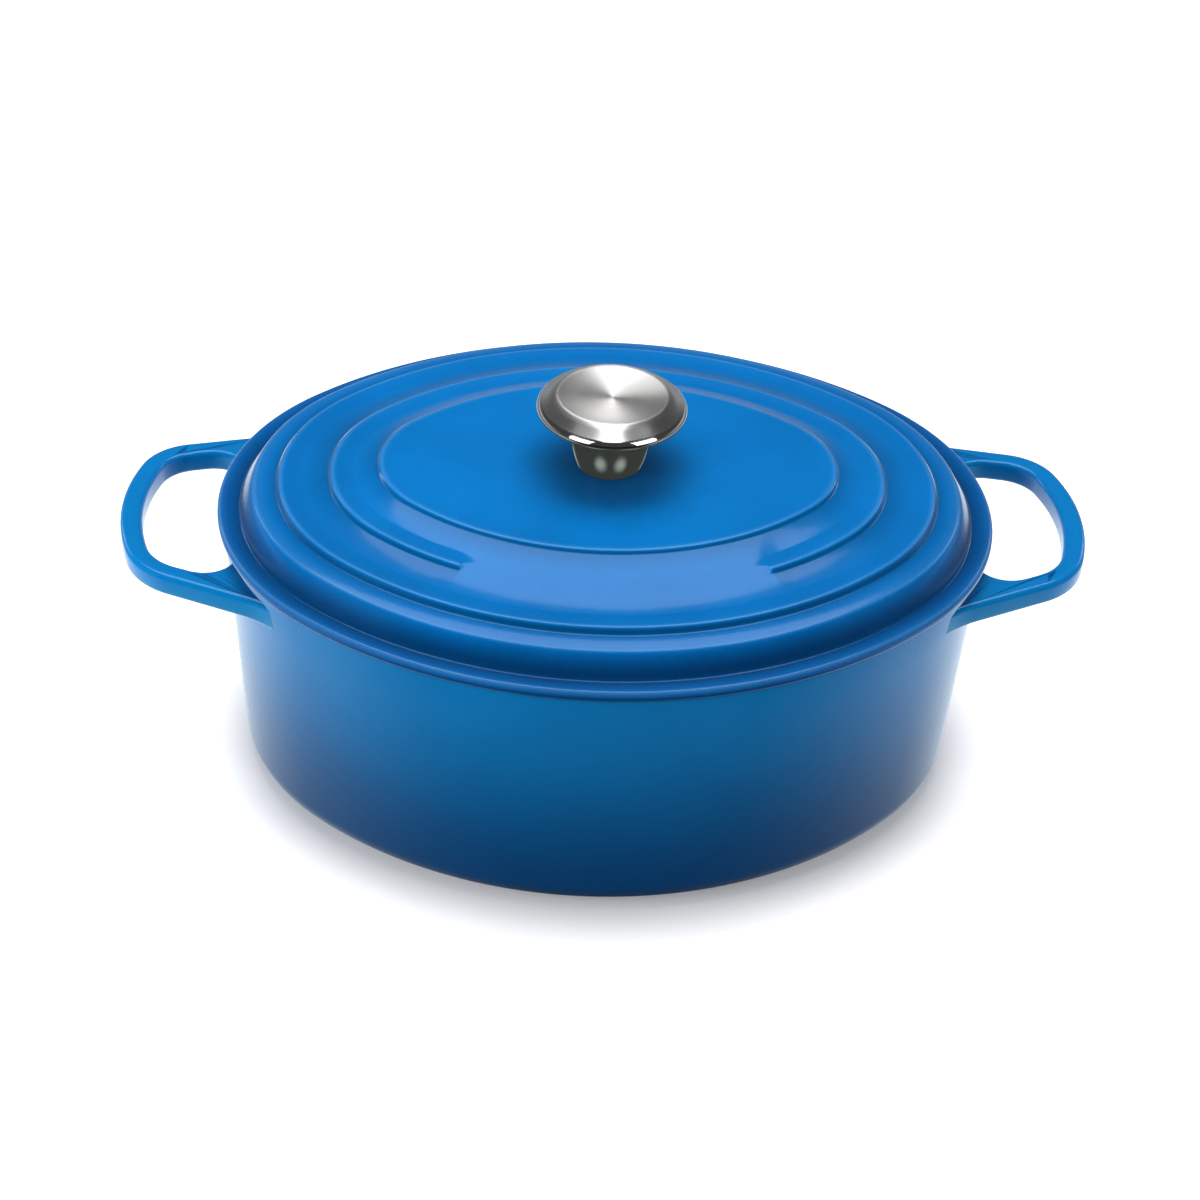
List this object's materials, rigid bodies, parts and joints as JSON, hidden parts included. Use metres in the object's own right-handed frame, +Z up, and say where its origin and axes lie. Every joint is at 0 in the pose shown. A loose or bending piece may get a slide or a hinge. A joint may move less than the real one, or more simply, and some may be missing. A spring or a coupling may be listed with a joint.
{
  "type": "oval dutch oven",
  "caption": "Oval enamelled cast iron cooking pot with loop handles, lift-off ringed lid and hollow steel knob.",
  "frame": {"origin": "centre of the base", "axes": "+X runs from handle to handle, +Y is away from the front, +Z is up"},
  "size_m": [0.399, 0.257, 0.1684],
  "materials": {
    "blue_enamel": "glossy glass enamel, blue, darker towards the base",
    "sand_enamel": "glossy sand coloured glass enamel",
    "black_enamel": "matt black enamel",
    "brushed_steel": "stainless steel, turned and brushed in circles",
    "polished_steel": "polished stainless steel",
    "fastener_steel": "plain stainless steel fasteners"
  },
  "bodies": {
    "pot": {"pot_body": "blue_enamel", "left_handle": "blue_enamel", "right_handle": "blue_enamel", "pot_lining": "sand_enamel", "pot_rim_coat": "black_enamel"},
    "lid": {"lid_body": "blue_enamel", "lid_lining": "sand_enamel", "lid_rim_coat": "black_enamel", "knob_cap": "brushed_steel", "knob_neck": "polished_steel", "knob_insert": "fastener_steel", "knob_screw": "fastener_steel", "spring_washer": "fastener_steel", "flat_washer": "fastener_steel"}
  },
  "joints": [
    {"name": "lid_lift", "type": "slide", "parent": "pot", "child": "lid", "axis": [0, 0, 1], "range_m": [0, 0.2]}
  ]
}
